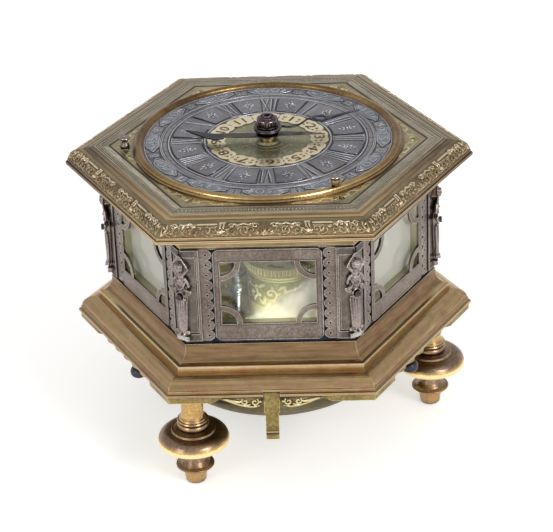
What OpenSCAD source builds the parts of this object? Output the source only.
// Hexagonal table clock: a hinged case over a base plate on three turned feet, with a spring-driven
// verge movement between two plates and a bell below. +X is right, +Y is the back, +Z is up.
// The origin is the middle of the base, at the level the feet stand on. All lengths are in millimetres.

/* [Case] */
// Circumradius of the six-sided body
body_r = 68.75; // [64:0.25:74]
// Height of the body between the two mouldings
body_h = 43.8; // [41:0.2:50]
// Thickness of the body walls
wall_t = 3; // [2:0.25:3.5]
// How far the corners of the base moulding stand out past the body's
base_out = 16.25; // [14:0.25:20]
// Height of the base moulding
base_h = 18; // [16:0.2:22]
// Height of the base moulding's lower, rounded member
ovolo_h = 7.8; // [6:0.2:9]
// Height of the upright band above the rounded member
band_h = 2.6; // [1:0.1:3]
// How far the corners of the upright band stand out past the body's
ledge_out = 6.95; // [5:0.05:8]
// How far the corners of the cap rim stand out past the body's
cap_out = 16.45; // [14:0.25:20]
// Height of the hollow moulding under the cap rim
cove_h = 9.5; // [8:0.5:12]
// Height of the cap from the rim's lower edge to the flat top
rim_h = 8.2; // [7:0.2:10]
// How far the corners of the flat top stand out past the body's
top_out = 4.95; // [4:0.05:6.5]

/* [Windows] */
// Half width of a window opening
window_half_w = 19.2; // [16:0.2:19.4]
// Height of a window opening
window_h = 28.5; // [24:0.1:30]
// Height of a window's sill above the base moulding
sill_h = 9.5; // [8:0.25:11]
// Thickness of the glass
glass_t = 1; // [0.8:0.1:1.2]
// Width of a silver window frame's uprights beside the opening
frame_w = 2.7; // [2:0.1:3.6]
// Thickness of a silver window frame
frame_t = 1.2; // [0.8:0.1:1.6]
// Inner radius of the quarter rings in the frame's corners
spandrel_r = 6.2; // [5:0.2:7]
// Width of the quarter rings
spandrel_w = 2.2; // [1.6:0.1:2.6]

/* [Corner mounts] */
// Gap between a window frame and the mount's scalloped edge
mount_gap = 0.4; // [0.2:0.1:1]
// Thickness of the mount
mount_t = 0.9; // [0.6:0.1:1.2]
// Number of scallops on each edge
scallops = 9; // [7:1:11]
// Largest radius of the cast corner figure
herm_r = 4.2; // [3.6:0.1:4.6]

/* [Dial] */
// How far the corners of the dial panel lie inside the flat top's
panel_inset = 7.7; // [6.5:0.1:9.5]
// Thickness of the dial panel
panel_t = 2; // [1.6:0.1:3]
// Distance of the bezel ring inside the middle of the panel's sides
bezel_margin = 0.95; // [0.6:0.05:3]
// Width of the bezel ring
bezel_w = 4.2; // [3:0.1:5]
// Height of the bezel ring
bezel_h = 2.6; // [2:0.1:3.5]
// Thickness of the chapter ring
dial_t = 1; // [0.8:0.1:1.4]
// Radius of the gilt alarm disc in the middle of the dial
alarm_r = 25.6; // [23:0.2:28]
// Length of the minute hand from the centre
minute_len = 44.6; // [38:0.2:48]
// Length of the hour hand from the centre
hour_len = 33.8; // [30:0.2:38]
// Length of the hour hand's tail
tail_len = 24.7; // [18:0.2:28]
// Thickness of the hands
hand_t = 0.9; // [0.6:0.1:1.2]
// Height of the turned knob over the hands
knob_h = 5.8; // [5:0.2:8]
// Radius of the knob's flange
knob_r = 5.9; // [5:0.1:6.5]

/* [Base] */
// Height of a foot
foot_h = 46.6; // [44:0.2:54]
// Largest radius of a foot
foot_r = 15; // [12:0.25:15.25]
// Radius of the foot's neck
neck_r = 4.6; // [4:0.1:5.5]
// Distance of the feet inside the corners of the base moulding
foot_inset = 17.7; // [17:0.1:19.5]
// Thickness of the base plate
plate_t = 2.3; // [1.8:0.1:3]
// Radius of the round lobes under the case's corners
lobe_r = 17; // [14:0.5:18]
// Width of the base plate between the middle of a side and the opening for the bell
plate_w = 15.6; // [14:0.1:17]
// Gap between the base plate and the case
joint_gap = 0.3; // [0.2:0.05:0.5]
// Width of the hinge at the back
hinge_w = 24; // [16:0.5:36]
// Radius of the hinge knuckles
knuckle_r = 1.5; // [1.3:0.05:1.6]
// Width of the catch lever at the front
catch_w = 6.4; // [5:0.1:7]
// Length of the catch lever below its pivot
catch_len = 21; // [16:0.5:22]
// Radius of the two turn knobs below the base plate
turn_r = 3.6; // [3:0.1:4.2]

/* [Bell] */
// Gap between the bell's rim and the edge of the opening, seen from below
bell_gap = 2.2; // [1.4:0.1:5]
// Depth of the bell
bell_depth = 31.5; // [26:0.25:33]
// Thickness of the bell
bell_t = 1.8; // [1.2:0.1:2.4]
// Distance of the bell's rim below the base plate
bell_drop = 5.6; // [4.4:0.1:6.5]

/* [Movement] */
// Gap between the movement plates and the middle of the body walls
movement_gap = 2.5; // [1:0.1:4]
// Thickness of the movement plates
movement_t = 2; // [1.6:0.1:2.4]
// Distance from the lower plate to the upper plate
movement_h = 41.5; // [41:0.5:44]
// Depth of the lower plate's underside below the top of the base moulding
movement_drop = 3.3; // [2.6:0.1:3.6]
// Radius of the pillars between the plates
pillar_r = 2.4; // [1.8:0.1:2.6]
// Radius of the going barrel
barrel_r = 14; // [12:0.25:14]
// Radius of the strike barrel
strike_r = 14; // [12:0.25:14.2]
// Largest radius of the fusee
fusee_r = 12; // [10:0.25:13]
// Radius of the balance wheel
balance_r = 12; // [10:0.25:12.5]

/* [Hidden] */
$fn = 64;
SIDES = [1:6];
function numbered(name) = [for (k = SIDES) str(name, "_", k)];

gilt = [0.62, 0.50, 0.30];
dark_gilt = [0.42, 0.32, 0.20];
silver = [0.45, 0.42, 0.40];
dial_silver = [0.50, 0.53, 0.57];
steel = [0.20, 0.20, 0.23];
clear = [0.80, 0.86, 0.80, 0.45];
bronze = [0.44, 0.47, 0.40];

run = 0.05;
loose = 0.3;
snug = 0.1;
eps = 0.01;
half_side = tan(30);
flat = cos(30);

base_r = body_r + base_out;
ledge_r = body_r + ledge_out;
cap_r = body_r + cap_out;
top_r = body_r + top_out;
panel_r = top_r - panel_inset;
bezel_r = panel_r * flat - bezel_margin;
dial_r = bezel_r - bezel_w;
frame_half_w = window_half_w + frame_w;
mount_edge = frame_half_w + mount_gap;
foot_at = base_r - foot_inset;
opening_r = base_r * flat - plate_w;
bell_r = opening_r - bell_gap;
movement_r = body_r * flat - wall_t - movement_gap;

plate_z = foot_h;
base_z = plate_z + plate_t + joint_gap;
body_z = base_z + base_h;
cap_z = body_z + body_h;
rim_z = cap_z + cove_h;
top_z = rim_z + rim_h;
dial_z = top_z + dial_t;
inner_r = body_r - wall_t / flat;
body_a = body_r * flat;
inner_a = inner_r * flat;
window_z = body_z + sill_h;
mount_z0 = body_z + 1.9;
mount_z1 = cap_z - 0.1;

lower_z = body_z - movement_drop;
lower_top = lower_z + movement_t;
upper_z = lower_top + movement_h;
upper_top = upper_z + movement_t;

// A point at radius r and bearing a, and the things placed there
function at(r, a) = [r * cos(a), r * sin(a)];
module placed(p, z = 0) { translate([p[0], p[1], z]) children(); }

// A point p moved by a polar step
function step(p, r, a) = p + at(r, a);

// Points of an elliptical arc about c
function arc(c, rx, ry, a0, a1, n = 8) =
    [for (i = [0:n]) let (a = a0 + (a1 - a0) * i / n) [c[0] + rx * cos(a), c[1] + ry * sin(a)]];

// A six-sided ring with the given half section, corners at the section's radii
module six_sided(section) { rotate_extrude($fn = 6) polygon(section); }
module six_prism(r, h) { cylinder(h = h, r = r, $fn = 6); }

// Children drawn flat on the outside of side k, x along the side and y up, thickness along the normal
module on_side(k, a = body_a) {
    rotate([0, 0, 60 * (k - 1)]) translate([0, -a, 0]) rotate([90, 0, 0]) children();
}

// Gears
pressure = 25;
addendum = 0.8;
dedendum = 1.1;
backlash = 0.1;
function roll(a) = tan(a) * 180 / PI - a;
function tooth_half(m, n, r) =
    let (p = m * n / 2, b = p * cos(pressure))
    90 / n - backlash / p * 180 / PI + roll(pressure) - (r > b ? roll(acos(b / r)) : 0);
function tooth_points(m, n) =
    let (p = m * n / 2, root = p - dedendum * m, tip = p + addendum * m)
    [for (s = [-1, 1]) for (r = s < 0 ? [root, p, tip] : [tip, p, root]) at(r, s * tooth_half(m, n, r))];
function turned(points, a) = [for (q = points) [q[0] * cos(a) - q[1] * sin(a), q[0] * sin(a) + q[1] * cos(a)]];
module gear_outline(m, n, phase = 0) {
    polygon([for (i = [0:n - 1]) each turned(tooth_points(m, n), phase + 360 * i / n)]);
}
// The phase of a wheel of n2 teeth that meshes, at bearing a, with one of n1 teeth at phase1
function meshed(a, n1, phase1, n2) = a + 180 + (180 - (phase1 - a) * n1) / n2;

// Open spaces between the arms of a crossed-out wheel
module crossings(r_in, r_out, arms, arm_w) {
    difference() {
        circle(r_out);
        circle(r_in);
        for (i = [0:arms - 1]) rotate(360 * i / arms) translate([0, -arm_w / 2]) square([r_out + 1, arm_w]);
    }
}
module wheel(m, n, t, phase, hub_r, arms, rim_w = 2) {
    linear_extrude(t) difference() {
        gear_outline(m, n, phase);
        crossings(hub_r, m * n / 2 - dedendum * m - rim_w, arms, 2);
    }
}
module pinion(m, n, h, phase = 0) { linear_extrude(h) gear_outline(m, n, phase); }

// An arbor with a pivot in each movement plate
arbor_r = 1.2;
pivot_r = 0.6;
module arbor(r = arbor_r, pr = pivot_r) {
    translate([0, 0, lower_z]) cylinder(h = movement_h + 2 * movement_t, r = pr);
    translate([0, 0, lower_top + snug]) cylinder(h = movement_h - 2 * snug, r = r);
}

// Train: teeth, modules and places. It is laid out for plates of radius layout_r and follows their size.
layout_r = 54;
unit = movement_r / layout_r;
great_m = 0.7 * unit;
great_n = 56;
centre_pinion_n = 10;
centre_m = 0.6 * unit;
centre_n = 60;
contrate_pinion_n = 10;
contrate_m = 0.5 * unit;
contrate_n = 52;
escape_pinion_n = 10;
escape_n = 15;
strike_m = 0.48 * unit;
strike_n = 64;
pin_pinion_n = 12;
pin_m = 0.45 * unit;
pin_n = 48;
fly_pinion_n = 10;
motion_m = 0.5 * unit;
cannon_n = 12;
minute_n = 36;
hour_m = 0.4 * unit;
minute_pinion_n = 12;
hour_n = 48;
function mesh_distance(m, n1, n2) = m * (n1 + n2) / 2;

fusee_a = 170;
fusee_at = at(mesh_distance(great_m, great_n, centre_pinion_n), fusee_a);
barrel_at = at(38.4 * unit, 97);
contrate_a = 20;
contrate_at = at(mesh_distance(centre_m, centre_n, contrate_pinion_n), contrate_a);
escape_a = 60;
contrate_r = contrate_m * contrate_n / 2;
verge_out = 24.6 * unit;
verge_at = step(contrate_at, verge_out, escape_a);
strike_at = at(38.2 * unit, 277.5);
pin_a = 20;
pin_at = step(strike_at, mesh_distance(strike_m, strike_n, pin_pinion_n), pin_a);
fly_a = 60;
fly_at = step(pin_at, mesh_distance(pin_m, pin_n, fly_pinion_n), fly_a);
motion_a = 250;
motion_at = at(mesh_distance(motion_m, minute_n, cannon_n), motion_a);
hammer_at = at(44.7 * unit, 333);
pillar_at = [for (a = [254, 344, 74, 164]) at(movement_r - 5.1, a)];
dial_pillar_at = [for (a = [30, 150, 270]) at(movement_r - 7, a)];

great_z = lower_top + 2.5;
great_t = 1.8;
fusee_z = great_z + great_t + 0.4;
fusee_turns = 9;
fusee_pitch = 2.4;
fusee_cone_h = fusee_turns * fusee_pitch;
fusee_taper = 0.58;
drum_z = lower_top + 3.5;
drum_h = 23.4;
strike_wheel_z = drum_z + drum_h + 1;
wheel_t = 1.6;
strike_wheel_t = 3;
centre_z = upper_z - 11;
contrate_z = lower_top + 8;
escape_z = contrate_z + 1.5 + 3.1 + contrate_m * escape_pinion_n / 2;
crown_r = 8;

// Feet

// Half section of a turned foot, from its tip up to its collar under the base plate
function foot_section() = let (r = foot_r, n = neck_r, h = foot_h) concat(
    [[0, 0], [3.2, 0]],
    arc([3.2, 1.3], 1.2, 1.3, -90, 0, 4),
    [[4.9, 5.2], [5.4, 5.6], [5.5, 6.3], [7.4, 7.7]],
    arc([7.5, 8.3], 0.6, 0.5, -60, 100, 4),
    [[6.2, 9.3], [4.9, 10.9], [4, 13], [3.8, 15.4]],
    [[4.6, 16.6], [r - 8, 17.8]],
    arc([r - 6, 20.4], 6, 2.3, -80, 0, 6),
    arc([r - 4.7, 20.4], 4.7, 4.8, 10, 84, 7),
    [[9.4, 25.4], [9.1, 26.1], [8.3, 26.2], [6.9, 26.6]],
    arc([5.5, 28.1], 1.2, 1.4, -70, 75, 5),
    arc([5.7, 30.4], 0.9, 0.6, -80, 80, 4),
    arc([n + 1.5, 34.2], 1.5, 2.8, 250, 180, 3),
    [[n, h - 5]],
    arc([n + 2, h - 5], 2, 3.4, 180, 115, 4),
    [[n + 2, h - 1.4], [n + 2, h]]);

tenon_r = 2.5;
module foot(a) {
    color(dark_gilt) placed(at(foot_at, a)) {
        rotate_extrude() polygon(concat(foot_section(), [[0, foot_h]]));
        translate([0, 0, foot_h - eps]) cylinder(h = plate_t + eps, r = tenon_r);
    }
}

// Base plate

hinge_y = base_r * flat - knuckle_r - 0.1;
hinge_z = plate_z + plate_t + joint_gap / 2;
pin_r = 0.8;
leaf_w = hinge_w / 3;
catch_y = -(base_r * flat - 2.8);
catch_up = 0.9;
trunnion_r = 0.5;
turn_at = base_r * flat - 7.4;
turn_stem_r = 1.5;

module plate_outline() {
    edge_a = base_r * flat - 2.2;
    intersection() {
        circle(r = (edge_a + 1.4) / flat, $fn = 6);
        difference() {
            union() {
                circle(r = (edge_a - 1.6) / flat, $fn = 6);
                for (a = [0:60:300]) translate(at(foot_at, a)) circle(lobe_r);
                for (k = [0:5]) rotate(60 * k + 30) for (i = [-2:2]) translate([edge_a - 5.2, i * 8]) circle(6);
            }
            circle(opening_r);
        }
    }
}

module pierced_scrolls() {
    for (k = [0:5]) rotate(60 * k + 30) for (i = [-2:2]) if (k != 1 || abs(i) > 1) {
        translate([base_r * flat - 8.4, i * 8 + 4 * sign(i)]) if (abs(i) == 1) circle(1.5);
    }
}

module bottom_plate() {
    color(gilt) difference() {
        union() {
            translate([0, 0, plate_z]) linear_extrude(plate_t) difference() {
                plate_outline();
                pierced_scrolls();
                for (a = [0, 120, 240]) translate(at(foot_at, a)) circle(tenon_r + run);
                for (a = [210, 330]) translate(at(turn_at, a)) circle(turn_stem_r + run);
                translate([-base_r, hinge_y - 0.3]) square([2 * base_r, base_r]);
                for (s = [-1, 1]) translate([s * leaf_w - leaf_w / 2 - loose, hinge_y - knuckle_r - loose])
                    square([leaf_w + 2 * loose, base_r]);
                translate([-catch_w / 2 - 0.8, -base_r]) square([catch_w + 1.6, base_r + catch_y + 2.2]);
            }
            translate([-leaf_w / 2 + loose, hinge_y - knuckle_r - 3, plate_z + 0.4])
                cube([leaf_w - 2 * loose, knuckle_r + 3, plate_t - 0.4]);
            translate([-leaf_w / 2 + loose, hinge_y, hinge_z]) rotate([0, 90, 0])
                cylinder(h = leaf_w - 2 * loose, r = knuckle_r);
        }
        translate([-hinge_w, hinge_y, hinge_z]) rotate([0, 90, 0]) cylinder(h = 2 * hinge_w, r = pin_r + run);
    }
}

module hinge_pin() {
    color(steel) translate([-hinge_w / 2, hinge_y, hinge_z]) rotate([0, 90, 0]) cylinder(h = hinge_w, r = pin_r);
}

module turn_knob(a) {
    color(steel) placed(at(turn_at, a), plate_z) rotate([0, 0, a]) {
        cylinder(h = plate_t, r = turn_stem_r);
        rotate_extrude() polygon(concat([[0, -10.4]], arc([turn_r - 1.6, -8.2], 1.6, 2.2, -90, 60, 8),
            [[1.7, -5.6], [1.7, -1.6], [2.8, -1.4], [2.8, -loose], [0, -loose]]));
        translate([0, 0, -loose - eps]) cylinder(h = loose + 2 * eps, r = turn_stem_r);
        translate([-1.4, 0, -1.4]) cube([2.8, 6.4, 1.1]);
    }
}

// Case

module base_moulding() {
    cavetto_z = ovolo_h + band_h;
    section = concat(
        [[inner_r, 0], [base_r - 0.9, 0], [base_r, 0.5], [base_r, 1.5], [base_r - 1.1, 1.9], [base_r - 1.1, 3]],
        arc([ledge_r, 3.2], base_r - 1.6 - ledge_r, ovolo_h - 3.2, 0, 90, 10),
        [[ledge_r, cavetto_z - 0.3], [ledge_r - 0.3, cavetto_z]],
        arc([ledge_r - 0.9, base_h - 1.1], ledge_r - body_r - 1.6, base_h - cavetto_z - 1.2, 270, 180, 8),
        [[body_r + 0.7, base_h], [inner_r, base_h]]);
    color(gilt) difference() {
        union() {
            difference() {
                translate([0, 0, base_z]) six_sided(section);
                translate([-hinge_w / 2 - loose, hinge_y - knuckle_r - 1.2, base_z - 1])
                    cube([hinge_w + 2 * loose, 20, knuckle_r + 1.6]);
                translate([-catch_w / 2 - loose, catch_y - 20, base_z - 1])
                    cube([catch_w + 2 * loose, 22.4, catch_up + 2.5]);
            }
            for (s = [-1, 1]) translate([s * leaf_w - leaf_w / 2 + (s < 0 ? loose : 0), 0, 0]) {
                translate([0, hinge_y, hinge_z]) rotate([0, 90, 0]) cylinder(h = leaf_w - loose, r = knuckle_r);
                translate([0, hinge_y - knuckle_r - 1.5, base_z])
                    cube([leaf_w - loose, knuckle_r + 1.5, knuckle_r + 0.8]);
            }
        }
        translate([-hinge_w, hinge_y, hinge_z]) rotate([0, 90, 0]) cylinder(h = 2 * hinge_w, r = pin_r + run);
        translate([-catch_w, catch_y, base_z + catch_up]) rotate([0, 90, 0])
            cylinder(h = 2 * catch_w, r = trunnion_r + run);
    }
}

// The lever that hangs at the front and swings out on two trunnions in the base moulding
module catch_lever() {
    top = base_z + catch_up;
    shoulder = 9;
    tail_w = catch_w - 1;
    color(gilt) {
        translate([-catch_w / 2, catch_y, top]) rotate([0, 90, 0]) cylinder(h = catch_w, r = 1.2);
        translate([-catch_w / 2 - 2, catch_y, top]) rotate([0, 90, 0]) cylinder(h = catch_w + 4, r = trunnion_r);
        translate([-catch_w / 2, catch_y - 1.2, top - shoulder]) cube([catch_w, 1.4, shoulder]);
        translate([-tail_w / 2, 0, 0]) rotate([90, 0, 90]) linear_extrude(tail_w) polygon([
            [catch_y - 1.2, top - shoulder + 1], [catch_y - 1.2, top - catch_len + 5],
            [catch_y - 3, top - catch_len + 3], [catch_y - 2.4, top - catch_len - 0.2],
            [catch_y - 1.2, top - catch_len], [catch_y - 1.6, top - catch_len + 2.4],
            [catch_y - 0.4, top - catch_len + 3.6], [catch_y + 0.2, top - catch_len + 5],
            [catch_y + 0.2, top - shoulder + 1]]);
    }
}

module case_frame() {
    color(dark_gilt) difference() {
        translate([0, 0, body_z]) six_prism(body_r, body_h);
        translate([0, 0, body_z - 1]) six_prism(inner_r, body_h + 2);
        for (k = SIDES) on_side(k, inner_a - 1) translate([-window_half_w, window_z, 0])
            cube([2 * window_half_w, window_h, wall_t + 2]);
    }
}

module window_glass() {
    lap = 1.6;
    color(clear) for (k = SIDES) on_side(k, inner_a - glass_t)
        translate([-window_half_w - lap, window_z - lap, 0])
            cube([2 * (window_half_w + lap), window_h + 2 * lap, glass_t]);
}

// Side furniture

module rounded(w, h, r) {
    translate([-w / 2 + r, 0]) square([w - 2 * r, h]);
    translate([-w / 2, r]) square([w, h - 2 * r]);
    for (x = [-w / 2 + r, w / 2 - r]) for (y = [r, h - r]) translate([x, y]) circle(r);
}

module window_frame(k) {
    color(silver) on_side(k) linear_extrude(frame_t) {
        difference() {
            translate([0, mount_z0]) rounded(2 * frame_half_w, mount_z1 - mount_z0, 2.6);
            translate([-window_half_w, window_z]) square([2 * window_half_w, window_h]);
        }
        for (x = [-1, 1]) for (y = [0, 1]) translate([x * window_half_w, window_z + y * window_h])
            intersection() {
                difference() {
                    circle(spandrel_r + spandrel_w);
                    circle(spandrel_r);
                }
                translate([x > 0 ? -20 : -eps, y > 0 ? -20 : -eps]) square(20 + eps);
            }
    }
}

mount_h = mount_z1 - mount_z0;
scallop_pitch = mount_h / scallops;
scallop_w = scallop_pitch / 2;

module mount_leg() {
    corner = (body_a + mount_t) * half_side;
    difference() {
        union() {
            translate([mount_edge + scallop_w, mount_z0]) square([corner - mount_edge - scallop_w, mount_h]);
            for (i = [0:scallops - 1])
                translate([mount_edge + scallop_w, mount_z0 + (i + 0.5) * scallop_pitch]) circle(scallop_w);
        }
        for (i = [0:scallops - 1])
            translate([mount_edge + scallop_w, mount_z0 + (i + 0.5) * scallop_pitch]) circle(0.5);
    }
}
module mount_ribs() {
    corner = body_a * half_side;
    translate([mount_edge + 2 * scallop_w + 0.5, mount_z0]) square([1, mount_h]);
    for (y = [mount_z0, mount_z1 - 3.2]) translate([mount_edge + 2 * scallop_w + 0.5, y])
        square([corner - mount_edge - 2 * scallop_w - 0.5, 3.2]);
}

// A thin plate folded round the corner between sides k and k + 1
module corner_mount(k) {
    color(silver) {
        on_side(k) {
            linear_extrude(mount_t) mount_leg();
            linear_extrude(mount_t + 0.5) mount_ribs();
        }
        on_side(k + 1) mirror([1, 0, 0]) {
            linear_extrude(mount_t) mount_leg();
            linear_extrude(mount_t + 0.5) mount_ribs();
        }
    }
}

// Cast figure on a corner: head in a lozenge hood, scrolled shoulders and a fluted shaft on its feet
herm_z0 = mount_z0 + 0.6;
herm_h = mount_h - 2.4;
hood_z = herm_h * 0.855;
hood_h = herm_r * 1.3;
function shaft_section() = let (r = herm_r, h = herm_h) concat(
    [[0, 1.6], [r * 0.42, 1.6], [r * 0.42, 4], [r * 0.62, h * 0.5], [r * 0.56, h * 0.56], [r * 0.66, h * 0.62]],
    arc([r * 0.4, h * 0.67], r * 0.42, 2.1, -50, 80, 6),
    [[r * 0.34, h * 0.75], [0, h * 0.75]]);
function lozenge(w, h) = [[0, -h], [w, 0], [0, h], [-w, 0]];

screw_z = (mount_z0 + mount_z1) / 2 + 0.5;
screw_r = 0.8;
screw_head_r = 1.3;
screw_head_h = 1.1;
mount_out = (body_a + mount_t + 0.5) / flat;
screw_seat = mount_out + 0.9;
shaft_at = mount_out - 0.9;
module flute(a) {
    rise = herm_h * 0.5 - 4;
    rotate([0, 0, a]) translate([herm_r * 0.42 + 0.15, 0, 4.4]) rotate([0, atan(herm_r * 0.2 / rise), 0])
        cylinder(h = rise - 3.4, r = 0.45);
}
module herm(k) {
    color(silver) rotate([0, 0, 60 * (k - 1) - 60]) difference() {
        union() {
            translate([shaft_at, 0, herm_z0]) difference() {
                rotate_extrude() polygon(shaft_section());
                for (a = [-42, 0, 42]) flute(a);
            }
            translate([mount_out - 2.6, -2.7, herm_z0]) cube([3.5, 5.4, 2.2]);
            for (s = [-1, 1]) {
                translate([mount_out + 0.2, s, herm_z0 + 2.8]) sphere(r = 1.1);
                translate([mount_out - 2.4, s * herm_r * 0.7, herm_z0 + herm_h * 0.55]) rotate([0, 90, 0])
                    cylinder(h = 3.1, r = herm_r * 0.4);
            }
            translate([mount_out - 2.6, 0, herm_z0 + hood_z]) rotate([90, 0, 90]) {
                linear_extrude(3.2) polygon(lozenge(herm_r, hood_h));
                linear_extrude(3.8) difference() {
                    polygon(lozenge(herm_r, hood_h));
                    polygon(lozenge(herm_r - 1, hood_h - 1.3));
                }
            }
            translate([mount_out + 0.4, 0, herm_z0 + hood_z]) rotate_extrude()
                polygon(arc([0, 0], 1.9, 2.6, -90, 90, 10));
        }
        translate([0, 0, herm_z0 - 1]) six_prism(mount_out, herm_h + 2);
        translate([mount_out - 8, 0, screw_z]) rotate([0, 90, 0]) cylinder(h = 20, r = screw_r + run);
        translate([screw_seat, 0, screw_z]) rotate([0, 90, 0]) cylinder(h = 8, r = screw_head_r + 0.2);
    }
}

module mount_screws() {
    color(steel) for (k = SIDES) rotate([0, 0, 60 * (k - 1) - 60]) translate([0, 0, screw_z]) rotate([0, 90, 0]) {
        translate([0, 0, mount_out + eps]) cylinder(h = screw_seat - mount_out, r = screw_r);
        translate([0, 0, screw_seat]) cylinder(h = screw_head_h, r = screw_head_r);
    }
}

// Cap

ledge_w = 3;
module cap_moulding() {
    h = cove_h + rim_h;
    section = concat(
        [[inner_r, 0], [body_r + 0.7, 0], [body_r + 0.7, 0.9]],
        arc([cap_r - 3.6, 1.1], cap_r - body_r - 4.9, cove_h - 1.8, 180, 90, 8),
        [[cap_r - 3.4, cove_h], [cap_r - 0.7, cove_h], [cap_r, cove_h + 0.5], [cap_r, cove_h + 1.3],
         [cap_r - 0.8, cove_h + 1.6], [cap_r - 0.8, cove_h + 2.4]],
        arc([top_r + 1.8, cove_h + 2.6], cap_r - top_r - 2.9, rim_h - 3.4, 0, 80, 8),
        [[top_r + 0.9, h - 0.7], [top_r + 0.9, h - 0.2], [top_r, h], [panel_r + snug, h],
         [panel_r + snug, h - panel_t], [panel_r - ledge_w, h - panel_t], [panel_r - ledge_w, h - panel_t - 2.5],
         [inner_r, h - panel_t - 4.5]]);
    color(gilt) translate([0, 0, cap_z]) six_sided(section);
}

// Dial

pipe_r = 3.3;
hour_hub_z = dial_z + 2.4;
minute_hub_z = hour_hub_z + hand_t + 1.3;
knob_z = minute_hub_z + hand_t;
stud_r = 1.1;
stud_left = at(bezel_r + 3.4, 182);
stud_right = at((dial_r + bezel_r) / 2, 301);

module dial_panel() {
    color(gilt) difference() {
        translate([0, 0, top_z - panel_t]) six_prism(panel_r, panel_t);
        translate([0, 0, top_z - panel_t - 1]) {
            cylinder(h = panel_t + 2, r = pipe_r + 0.6);
            placed(at(bezel_r + 4.6, 300)) cylinder(h = panel_t + 2, r = 1.2);
            placed(stud_left) cylinder(h = panel_t + 2, r = stud_r + run);
        }
    }
}

module bezel_ring() {
    w = bezel_w;
    color(gilt) difference() {
        translate([0, 0, top_z]) rotate_extrude() polygon(concat(
            [[dial_r, 0], [bezel_r, 0], [bezel_r, 0.7], [bezel_r - 0.5, 1]],
            arc([dial_r + w / 2, bezel_h - 1.1], w / 2 - 0.5, 1.1, 10, 170, 8), [[dial_r, 1.2]]));
        placed(stud_right, top_z - 1) cylinder(h = bezel_h + 2, r = stud_r + run);
    }
}

module chapter_ring() {
    groove = 0.18;
    rings = [dial_r - 7.2, dial_r - 11.1];
    color(dial_silver) translate([0, 0, top_z]) difference() {
        rotate_extrude() polygon([[alarm_r + 0.2, 0], [dial_r - snug, 0], [dial_r - snug, dial_t],
            [alarm_r + 0.2, dial_t]]);
        for (r = rings) rotate_extrude() translate([r, dial_t]) square([0.5, 2 * groove], center = true);
    }
}

module stud() {
    stem = panel_t + 3.6;
    cylinder(h = stem, r = stud_r);
    translate([0, 0, stem - eps]) rotate_extrude()
        polygon(concat([[0, 0], [1.2, 0], [1.5, 0.5]], arc([0, 1], 2.3, 0.6, -20, 90, 6)));
}
module dial_studs() {
    color(dark_gilt) {
        placed(stud_left, top_z - panel_t) stud();
        placed(stud_right, top_z + 0.1) stud();
    }
}

module alarm_disc() {
    color(gilt) translate([0, 0, top_z + 0.2]) rotate_extrude() polygon([
        [pipe_r + run, 0], [alarm_r, 0], [alarm_r, dial_t - 0.2], [alarm_r * 0.79, dial_t - 0.2],
        [alarm_r * 0.78, dial_t - 0.4], [alarm_r * 0.77, dial_t - 0.2], [pipe_r + 2.4, dial_t - 0.2],
        [pipe_r + 1.6, dial_t + 0.5], [pipe_r + run, dial_t + 0.5]]);
}

// Outline of half a leaf between x0 and x1, mirrored to a closed blade
function blade(x0, x1, w) = concat(
    [for (i = [0:10]) let (t = i / 10) [x0 + (x1 - x0) * t, -w * pow(sin(180 * pow(t, 0.7)), 0.9)]],
    [for (i = [9:-1:1]) let (t = i / 10) [x0 + (x1 - x0) * t, w * pow(sin(180 * pow(t, 0.7)), 0.9)]]);

hour_a = 175;
module hour_hand() {
    color(steel) translate([0, 0, hour_hub_z]) rotate([0, 0, hour_a]) linear_extrude(hand_t) difference() {
        union() {
            circle(knob_r - 0.3);
            polygon([[4, -1.6], [hour_len - 11, -1.1], [hour_len - 11, 1.1], [4, 1.6]]);
            polygon(blade(hour_len - 14, hour_len, 3));
            translate([-3, 0]) polygon([[0, 1], [3 - tail_len, 0.35], [3 - tail_len, -0.35], [0, -1]]);
        }
        circle(pipe_r);
    }
}

module minute_hand() {
    len = minute_len;
    wave = function (t) 1.9 * sin(540 * t) * (1 - t);
    color(steel) translate([0, 0, minute_hub_z]) rotate([0, 0, 30]) linear_extrude(hand_t) difference() {
        union() {
            circle(knob_r - 0.7);
            polygon(concat(
                [for (i = [0:16]) let (t = i / 16) [3 + (len - 3) * t, wave(t) - 1.5 + t * 1.4]],
                [for (i = [16:-1:0]) let (t = i / 16) [3 + (len - 3) * t, wave(t) + 1.5 - t * 1.4]]));
            translate([len * 0.5, 0]) circle(2.6);
        }
        circle(cannon_r);
        translate([len * 0.5, 0]) circle(1.5);
    }
}

// Flange with a barrel-shaped cage of six ribs on it and a button on top
module hand_knob() {
    cage_r = knob_r * 0.75;
    color(steel) translate([0, 0, knob_z]) difference() {
        rotate_extrude() polygon(concat(
            [[centre_arbor_r, 0], [knob_r, 0], [knob_r, 0.5], [knob_r - 0.6, 0.9], [cage_r - 0.9, 1.1]],
            arc([cage_r - 1.2, knob_h / 2 + 0.1], 1.2, knob_h / 2 - 1, -90, 90, 8),
            [[2.1, knob_h - 0.7], [1.9, knob_h - 0.1], [centre_arbor_r, knob_h]]));
        rotate_extrude() polygon([[2.2, 1.6], [cage_r - 0.8, 1.6], [cage_r - 0.8, knob_h - 1.6], [2.2, knob_h - 1.6]]);
        for (k = [0:5]) rotate([0, 0, 60 * k]) translate([2.6, -1.05, 1.7]) cube([4, 2.1, knob_h - 3.4]);
    }
}

// Motion work under the dial

centre_arbor_r = 1.25;
cannon_r = 2.2;
cannon_z = upper_top + 2;
hour_wheel_z = cannon_z + 5.2;
cannon_phase = meshed(motion_a + 180, minute_n, 0, cannon_n);

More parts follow.
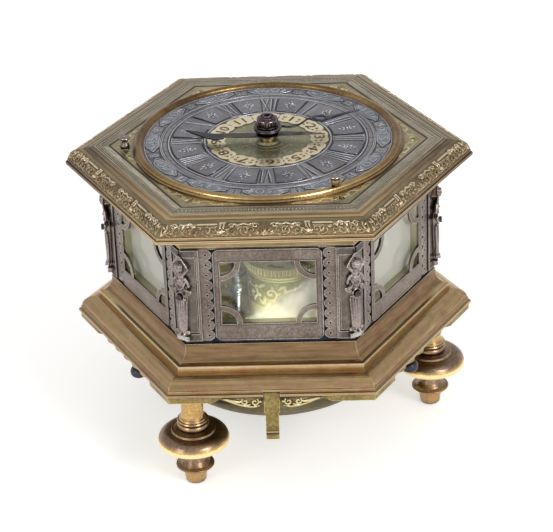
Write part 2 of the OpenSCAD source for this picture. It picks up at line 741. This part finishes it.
module cannon_pinion() {
    color(steel) difference() {
        union() {
            translate([0, 0, cannon_z]) pinion(motion_m, cannon_n, 4, cannon_phase);
            translate([0, 0, cannon_z]) cylinder(h = knob_z - cannon_z, r = cannon_r);
        }
        translate([0, 0, cannon_z - 1]) cylinder(h = knob_z - cannon_z + 2, r = centre_arbor_r + eps);
    }
}

module minute_wheel() {
    color(gilt) placed(motion_at) difference() {
        union() {
            translate([0, 0, cannon_z + 0.6]) wheel(motion_m, minute_n, 1.4, 0, 3.3, 4);
            translate([0, 0, cannon_z + 1.9]) pinion(hour_m, minute_pinion_n, hour_wheel_z - cannon_z + 0.6, 0);
        }
        translate([0, 0, cannon_z - 1]) cylinder(h = 20, r = 1 + run);
    }
}

module hour_wheel() {
    phase = meshed(motion_a + 180, minute_pinion_n, 0, hour_n);
    color(gilt) difference() {
        union() {
            translate([0, 0, hour_wheel_z]) wheel(hour_m, hour_n, 1.4, phase, 4.4, 4, 1.4);
            translate([0, 0, hour_wheel_z]) cylinder(h = hour_hub_z + hand_t - hour_wheel_z, r = pipe_r);
        }
        translate([0, 0, hour_wheel_z - 1]) cylinder(h = 60, r = cannon_r + run);
    }
}

// Movement

module pivot_holes(r = pivot_r + run) {
    for (p = [[0, 0], barrel_at, contrate_at, strike_at, pin_at, fly_at])
        translate(p) circle(r);
}

stub_r = 1.7;
module lower_plate() {
    potence = step(step(contrate_at, verge_out - 3.3, escape_a), 6.4, escape_a - 90);
    color(gilt) {
        difference() {
            translate([0, 0, lower_z]) linear_extrude(movement_t) difference() {
                circle(movement_r);
                pivot_holes();
                translate(fusee_at) circle(stub_r + run);
                translate(hammer_at) circle(arbor_r + run);
                translate(verge_at) circle(2.2);
            }
        }
        placed(potence, lower_top - eps) rotate([0, 0, escape_a]) {
            difference() {
                union() {
                    translate([-1, -1.6, 0]) cube([2, 3.2, escape_z - lower_top + 1.6]);
                    translate([-1, 0, escape_z - lower_top - 1.6]) cube([2, 8, 3.2]);
                }
                translate([-4, 6.4, escape_z - lower_top + eps]) rotate([0, 90, 0])
                    cylinder(h = 8, r = pivot_r + run);
            }
        }
    }
}

verge_top = escape_z + crown_r + 4.6;
module upper_plate() {
    inner_post = step(contrate_at, 8.6, escape_a);
    color(gilt) {
        translate([0, 0, upper_z]) linear_extrude(movement_t) difference() {
            circle(movement_r);
            circle(centre_arbor_r + run);
            for (p = [barrel_at, contrate_at, strike_at, pin_at, fly_at, fusee_at, hammer_at])
                translate(p) circle(pivot_r + run);
        }
        placed(motion_at, upper_top - eps) cylinder(h = hour_wheel_z - upper_top + 2.4, r = 1);
        difference() {
            placed(verge_at, verge_top - 2.5) cylinder(h = upper_z - verge_top + 2.5 + eps, r = 2);
            placed(verge_at, verge_top - 4) cylinder(h = 4.2, r = pivot_r + run);
        }
        placed(inner_post, 0) rotate([0, 0, escape_a]) difference() {
            translate([-1, -1.6, escape_z - 1.6]) cube([2, 3.2, upper_z - escape_z + 1.6 + eps]);
            translate([-4, 0, escape_z]) rotate([0, 90, 0]) cylinder(h = 8, r = pivot_r + run);
        }
    }
}

// Four pillars between the plates and three short ones that carry the upper plate from the dial panel
module movement_pillars() {
    h = movement_h;
    s = top_z - panel_t - upper_top;
    color(gilt) {
        for (p = pillar_at) placed(p, lower_top) rotate_extrude() polygon(concat(
            [[0, 0], [pillar_r + 0.8, 0], [pillar_r + 0.8, 1.4], [pillar_r - 0.6, 2.2]],
            [[pillar_r - 0.6, h / 2 - 3]], arc([pillar_r - 0.8, h / 2], 1.2, 2.6, -80, 80, 8),
            [[pillar_r - 0.6, h / 2 + 3], [pillar_r - 0.6, h - 2.2], [pillar_r + 0.8, h - 1.4],
             [pillar_r + 0.8, h], [0, h]]));
        for (p = dial_pillar_at) placed(p, upper_top) cylinder(h = s, r = pillar_r);
    }
}

module centre_wheel() {
    pinion_phase = meshed(fusee_a + 180, great_n, fusee_a + 180, centre_pinion_n);
    color(gilt) {
        translate([0, 0, lower_z + 0.2]) cylinder(h = 5, r = pivot_r);
        translate([0, 0, lower_top + snug]) cylinder(h = knob_z + knob_h - lower_top - 1, r = centre_arbor_r);
        translate([0, 0, lower_top + 1.4]) pinion(great_m, centre_pinion_n, 4.2, pinion_phase);
        translate([0, 0, centre_z]) wheel(centre_m, centre_n, wheel_t, contrate_a, 3.5, 4);
    }
}

module fusee() {
    r_at = function (i) fusee_r * (1 - (1 - fusee_taper) * i / fusee_turns);
    groove_d = 0.9;
    color(gilt) placed(fusee_at) {
        translate([0, 0, lower_z - 6]) cylinder(h = 6 + movement_t, r = stub_r);
        translate([0, 0, lower_top - eps]) cylinder(h = movement_h - snug, r = 1.5);
        translate([0, 0, upper_z - 1]) cylinder(h = 1 + movement_t, r = pivot_r);
        translate([0, 0, great_z]) wheel(great_m, great_n, great_t, fusee_a + 180, fusee_r + 0.5, 6);
        translate([0, 0, great_z + great_t - eps]) rotate_extrude() polygon(concat(
            [[0, 0], [fusee_r, 0], [fusee_r, 0.4]],
            [for (i = [0:fusee_turns - 1]) each let (z = 0.4 + i * fusee_pitch, r = r_at(i)) [
                [r, z], [r, z + 0.5], [r - groove_d, z + 0.7], [r - groove_d, z + fusee_pitch - 0.2],
                [r_at(i + 1), z + fusee_pitch]]],
            [[fusee_r * 0.66, 0.6 + fusee_cone_h], [fusee_r * 0.66, 2 + fusee_cone_h], [0, 2 + fusee_cone_h]]));
    }
}

chain_turn = 4;
chain_z = fusee_z + chain_turn * fusee_pitch + 0.7;
chain_h = 1.2;
chain_w = 0.9;
slack = 0.15;
fusee_chain_r = fusee_r * (1 - (1 - fusee_taper) * chain_turn / fusee_turns) - 0.9 + snug;
barrel_chain_r = barrel_r + snug;

// Steel chain wound on the barrel and on the fusee, with its straight run between them
module fusee_chain() {
    gap = fusee_at - barrel_at;
    reach = norm(gap);
    bearing = atan2(gap[1], gap[0]) + acos((barrel_chain_r - fusee_chain_r) / reach) * -1;
    run_len = sqrt(pow(reach, 2) - pow(barrel_chain_r - fusee_chain_r, 2));
    color(steel) {
        for (turn = [0:2]) placed(barrel_at, chain_z + turn * 1.2) difference() {
            cylinder(h = chain_h + (turn < 2 ? eps : 0), r = barrel_chain_r + chain_w);
            translate([0, 0, -1]) cylinder(h = 4, r = barrel_chain_r);
        }
        placed(fusee_at, chain_z) difference() {
            cylinder(h = chain_h, r = fusee_chain_r + chain_w);
            translate([0, 0, -1]) cylinder(h = 4, r = fusee_chain_r);
        }
        placed(barrel_at, chain_z) rotate([0, 0, bearing]) translate([barrel_chain_r + slack, 0, slack])
            cube([chain_w - 2 * slack, run_len, chain_h - 2 * slack]);
    }
}

module drum(r) {
    translate([0, 0, drum_z]) rotate_extrude() polygon(concat(
        [[0, 0], [r - 0.5, 0], [r, 0.5], [r, drum_h - 0.5], [r - 0.5, drum_h], [0, drum_h]]));
}

module going_barrel() {
    color(gilt) placed(barrel_at) {
        arbor(1.6);
        drum(barrel_r);
        translate([0, 0, drum_z + drum_h - eps]) cylinder(h = 1.4, r = 3.6, $fn = 6);
    }
}

module strike_barrel() {
    color(gilt) placed(strike_at) {
        arbor(1.6);
        drum(strike_r);
        translate([0, 0, drum_z + drum_h - eps]) cylinder(h = 1.02, r = 5);
        translate([0, 0, strike_wheel_z]) wheel(strike_m, strike_n, strike_wheel_t, pin_a, 6, 5);
        translate([0, 0, strike_wheel_z + strike_wheel_t - eps]) cylinder(h = 1.2, r = 3.4, $fn = 6);
    }
}

module strike_pin_wheel() {
    wheel_z = strike_wheel_z + 5.6;
    color(gilt) placed(pin_at) {
        arbor();
        translate([0, 0, strike_wheel_z - 0.6])
            pinion(strike_m, pin_pinion_n, strike_wheel_t + 1.2, meshed(pin_a, strike_n, pin_a, pin_pinion_n));
        translate([0, 0, wheel_z]) wheel(pin_m, pin_n, wheel_t, fly_a, 3, 4);
        for (a = [22.5:45:350]) placed(at(9, a), wheel_z + wheel_t - eps) cylinder(h = 2.2, r = 0.5);
    }
}

module strike_fly() {
    wheel_z = strike_wheel_z + 5.6;
    vane = [12.4, 0.5, 14];
    color(gilt) placed(fly_at) {
        arbor(1);
        translate([0, 0, wheel_z - 1.4])
            pinion(pin_m, fly_pinion_n, 4.4, meshed(fly_a, pin_n, fly_a, fly_pinion_n));
        translate([-vane[0] / 2, -vane[1] / 2, drum_z + 4]) cube(vane);
    }
}

// Face wheel: teeth stand up from the rim and drive the escape arbor's pinion
module contrate_wheel() {
    rack_z = escape_z - contrate_m * escape_pinion_n / 2;
    tip = addendum * contrate_m;
    root = dedendum * contrate_m;
    half = PI * contrate_m / 4 - backlash;
    slope = tan(pressure);
    pinion_phase = meshed(contrate_a, centre_n, contrate_a, contrate_pinion_n);
    color(gilt) placed(contrate_at) {
        arbor();
        translate([0, 0, centre_z - 1.4]) pinion(centre_m, contrate_pinion_n, 4.4, pinion_phase);
        translate([0, 0, contrate_z]) linear_extrude(1.5) difference() {
            circle(contrate_r + 0.8);
            crossings(3, contrate_r - 1.6, 4, 2);
        }
        translate([0, 0, contrate_z + 1.5 - eps]) difference() {
            cylinder(h = rack_z - root - contrate_z - 1.5 + 2 * eps, r = contrate_r + 0.8);
            translate([0, 0, -1]) cylinder(h = 10, r = contrate_r - 0.8);
        }
        for (i = [0:contrate_n - 1]) rotate([0, 0, escape_a + 360 * i / contrate_n])
            translate([contrate_r - 0.7, 0, rack_z]) rotate([90, 0, 90]) linear_extrude(1.4) polygon([
                [-half - root * slope, -root], [half + root * slope, -root],
                [half - tip * slope, tip], [-half + tip * slope, tip]]);
    }
}

// Crown wheel on its horizontal arbor: the saw teeth face the verge staff
module escape_wheel() {
    crown_x = verge_out - 9;
    color(gilt) placed(contrate_at, escape_z) rotate([0, 0, escape_a]) rotate([0, 90, 0]) {
        translate([0, 0, 7.7]) cylinder(h = verge_out - 3.3 - 7.7 + 0.9, r = pivot_r);
        translate([0, 0, 9.7]) cylinder(h = verge_out - 4.4 - 9.7, r = 1);
        translate([0, 0, contrate_r - 1.8]) rotate([0, 0, 180 / escape_pinion_n])
            pinion(contrate_m, escape_pinion_n, 3.6);
        translate([0, 0, crown_x]) linear_extrude(1) difference() {
            circle(crown_r);
            crossings(2, crown_r - 1.2, 3, 1.6);
        }
        translate([0, 0, crown_x + 1 - eps]) difference() {
            cylinder(h = 1.4, r = crown_r);
            translate([0, 0, -1]) cylinder(h = 4, r = crown_r - 1);
        }
        for (i = [0:escape_n - 1]) rotate([0, 0, 360 * i / escape_n])
            translate([crown_r - 0.9, 0, crown_x + 2.4 - 2 * eps]) rotate([90, 0, 90]) linear_extrude(0.8)
                polygon([[-1.2, 0], [1.2, 0], [1.2, 1.8], [0.9, 1.8]]);
    }
}

module balance_wheel() {
    z = lower_z - 4.6;
    color(gilt) placed(verge_at) {
        translate([0, 0, z - 3.6]) cylinder(h = verge_top - z + 3.4, r = pivot_r);
        translate([0, 0, z - 2]) cylinder(h = verge_top - z - 0.8, r = 0.9);
        translate([0, 0, z]) linear_extrude(1.2) difference() {
            circle(balance_r);
            crossings(2, balance_r - 1.6, 3, 1.4);
        }
        for (s = [-1, 1]) translate([0, 0, escape_z + s * (crown_r - 0.6) - 0.8])
            rotate([0, 0, escape_a + 180 + s * 45]) translate([0, -0.4, 0]) cube([4.3, 0.8, 1.6]);
    }
}

// Bracket under the lower plate that holds the balance's lower pivot
module balance_cock() {
    z = lower_z - 8.4;
    away = atan2(verge_at[1], verge_at[0]) + 180;
    color(gilt) placed(verge_at) rotate([0, 0, away]) difference() {
        union() {
            translate([0, 0, z]) cylinder(h = 1.6, r = 7);
            translate([0, -2.4, z]) cube([balance_r + 7, 4.8, 1.6]);
            translate([balance_r + 2, -4.4, z]) cube([5, 8.8, lower_z - z]);
        }
        translate([0, 0, z - 1]) cylinder(h = 4, r = pivot_r + run);
        for (a = [60, 120, 180, 240, 300]) rotate([0, 0, a]) translate([4.4, 0, z - 1]) cylinder(h = 4, r = 1.3);
    }
}

rim_bell_z = plate_z - bell_drop;
module bell_hammer() {
    head_at = at(bell_r - bell_t - 4, 320);
    arm = head_at - hammer_at;
    arm_z = rim_bell_z - 4;
    color(steel) placed(hammer_at) {
        translate([0, 0, arm_z]) cylinder(h = upper_z - snug - arm_z, r = arbor_r);
        translate([0, 0, upper_z - 1]) cylinder(h = movement_t + 1, r = pivot_r);
        rotate([0, 0, atan2(arm[1], arm[0])]) {
            translate([0, -0.8, arm_z]) cube([norm(arm), 1.6, 1.6]);
            translate([norm(arm), 0, arm_z - 2.2]) cylinder(h = 5.4, r = 2.2);
        }
        rotate([0, 0, 208]) translate([0, -0.7, strike_wheel_z + 8]) cube([10, 1.4, 1.2]);
    }
}

bell_hole_r = 2.6;
module bell() {
    inner = [bell_r - bell_t, bell_depth - bell_t];
    n = 14;
    side = function (r, d, from, to) [for (i = [0:n]) let (a = from + (to - from) * i / n)
        [max(bell_hole_r, r * cos(a)), rim_bell_z - d * sin(a)]];
    a_out = acos(bell_hole_r / bell_r);
    a_in = acos(bell_hole_r / inner[0]);
    color(bronze) rotate_extrude() polygon(concat(
        side(inner[0], inner[1], 0, a_in), side(bell_r, bell_depth, a_out, 0)));
}

bell_bottom = rim_bell_z - bell_depth;
module bell_standard() {
    seat = bell_bottom + bell_t + 0.15;
    color(steel) {
        translate([0, 0, bell_bottom - 4.4]) cylinder(h = seat - bell_bottom + 4.5, r = bell_hole_r - run);
        translate([0, 0, seat]) rotate_extrude() polygon([
            [0, 0], [5, 0], [5, 1.2], [3, 2.4], [2.8, lower_z - seat - 6], [3.4, lower_z - seat - 3],
            [7, lower_z - seat - 1.6], [7, lower_z - seat], [0, lower_z - seat]]);
    }
}

module bell_nut() {
    color(steel) translate([0, 0, bell_bottom - 3.6]) difference() {
        cylinder(h = 3.5, r = 5.2, $fn = 6);
        translate([0, 0, -1]) cylinder(h = 6, r = bell_hole_r);
    }
}

foot(240);  // foot_front
foot(0);  // foot_right
foot(120);  // foot_back
bottom_plate();
hinge_pin();
turn_knob(210);  // turn_knob_left
turn_knob(330);  // turn_knob_right
base_moulding();
catch_lever();
case_frame();
window_glass();
for (k = SIDES) window_frame(k);
for (k = SIDES) corner_mount(k);
for (k = SIDES) herm(k);
mount_screws();
cap_moulding();
dial_panel();
bezel_ring();
chapter_ring();
dial_studs();
alarm_disc();
hour_hand();
hour_wheel();
minute_hand();
cannon_pinion();
hand_knob();
minute_wheel();
lower_plate();
upper_plate();
movement_pillars();
centre_wheel();
going_barrel();
fusee();
fusee_chain();
contrate_wheel();
escape_wheel();
balance_wheel();
balance_cock();
strike_barrel();
strike_pin_wheel();
strike_fly();
bell_hammer();
bell();
bell_standard();
bell_nut();
